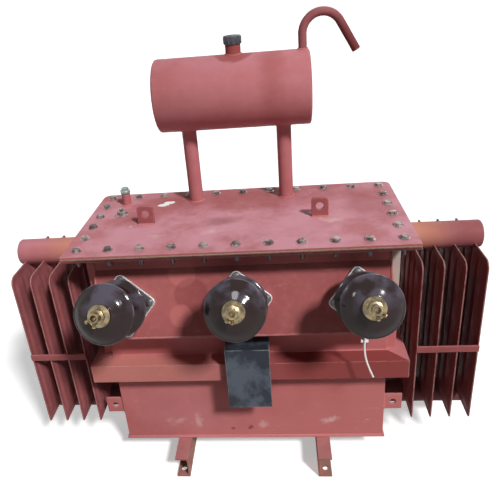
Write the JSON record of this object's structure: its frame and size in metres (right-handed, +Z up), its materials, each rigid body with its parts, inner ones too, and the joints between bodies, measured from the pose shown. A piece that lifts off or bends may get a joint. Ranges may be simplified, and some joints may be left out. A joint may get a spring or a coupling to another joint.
{
  "type": "electrical transformer",
  "caption": "Oil-filled three-phase distribution transformer with finned radiators, a conservator drum and sloping porcelain bushings on a welded steel tank.",
  "frame": {"origin": "on the ground, at the centre of the four base bolt holes, straight under the centre of the lid", "axes": "+Z up, -Y towards the high-voltage side, +X to the right seen from the high-voltage side"},
  "size_m": [1.323, 0.6956, 1.2865],
  "materials": {
    "red_primer": "matt red-oxide primer on welded steel plate, scuffed",
    "cork": "pressed cork and rubber gasket sheet",
    "dark_plate": "dark slate paint, dusty and worn at the edges",
    "cast_aluminium": "dull cast aluminium",
    "porcelain": "glossy dark brown glaze",
    "brass": "turned brass",
    "dark_cap": "dark grey-blue painted cap",
    "zinc": "zinc-plated steel",
    "white_nylon": "milky white nylon strap"
  },
  "bodies": {
    "root": {"rail_left": "red_primer", "rail_right": "red_primer", "tank_floor": "red_primer", "front_wall": "red_primer", "back_wall": "red_primer", "left_wall": "red_primer", "right_wall": "red_primer", "pocket_base": "red_primer", "hv_panel": "red_primer", "front_collar": "red_primer", "flange_front": "red_primer", "flange_back": "red_primer", "flange_left": "red_primer", "flange_right": "red_primer", "lid_gasket": "cork", "lid": "red_primer", "belt_front": "red_primer", "belt_back": "red_primer", "belt_left": "red_primer", "belt_right": "red_primer", "corner_flats": "red_primer", "earth_lugs": "red_primer", "plate_bracket": "dark_plate", "hv_clamps": "cast_aluminium", "hv_bushing_left": "porcelain", "hv_bushing_centre": "porcelain", "hv_bushing_right": "porcelain", "hv_terminals": "brass", "lv_bushings": "porcelain", "lv_terminals": "brass", "left_upper_header": "red_primer", "left_lower_header": "red_primer", "right_upper_header": "red_primer", "right_lower_header": "red_primer", "left_fins": "red_primer", "right_fins": "red_primer", "left_braces": "red_primer", "right_braces": "red_primer", "conservator_legs": "red_primer", "conservator_shell": "red_primer", "conservator_ends": "red_primer", "filler_neck": "red_primer", "filler_cap": "dark_cap", "breather_riser": "red_primer", "breather_bend": "red_primer", "breather_tail": "red_primer", "lifting_lugs": "red_primer", "thermometer_pocket": "red_primer", "thermometer_cap": "zinc", "vent_plug": "zinc", "tie_strap": "white_nylon", "tie_head": "white_nylon"}
  },
  "joints": []
}
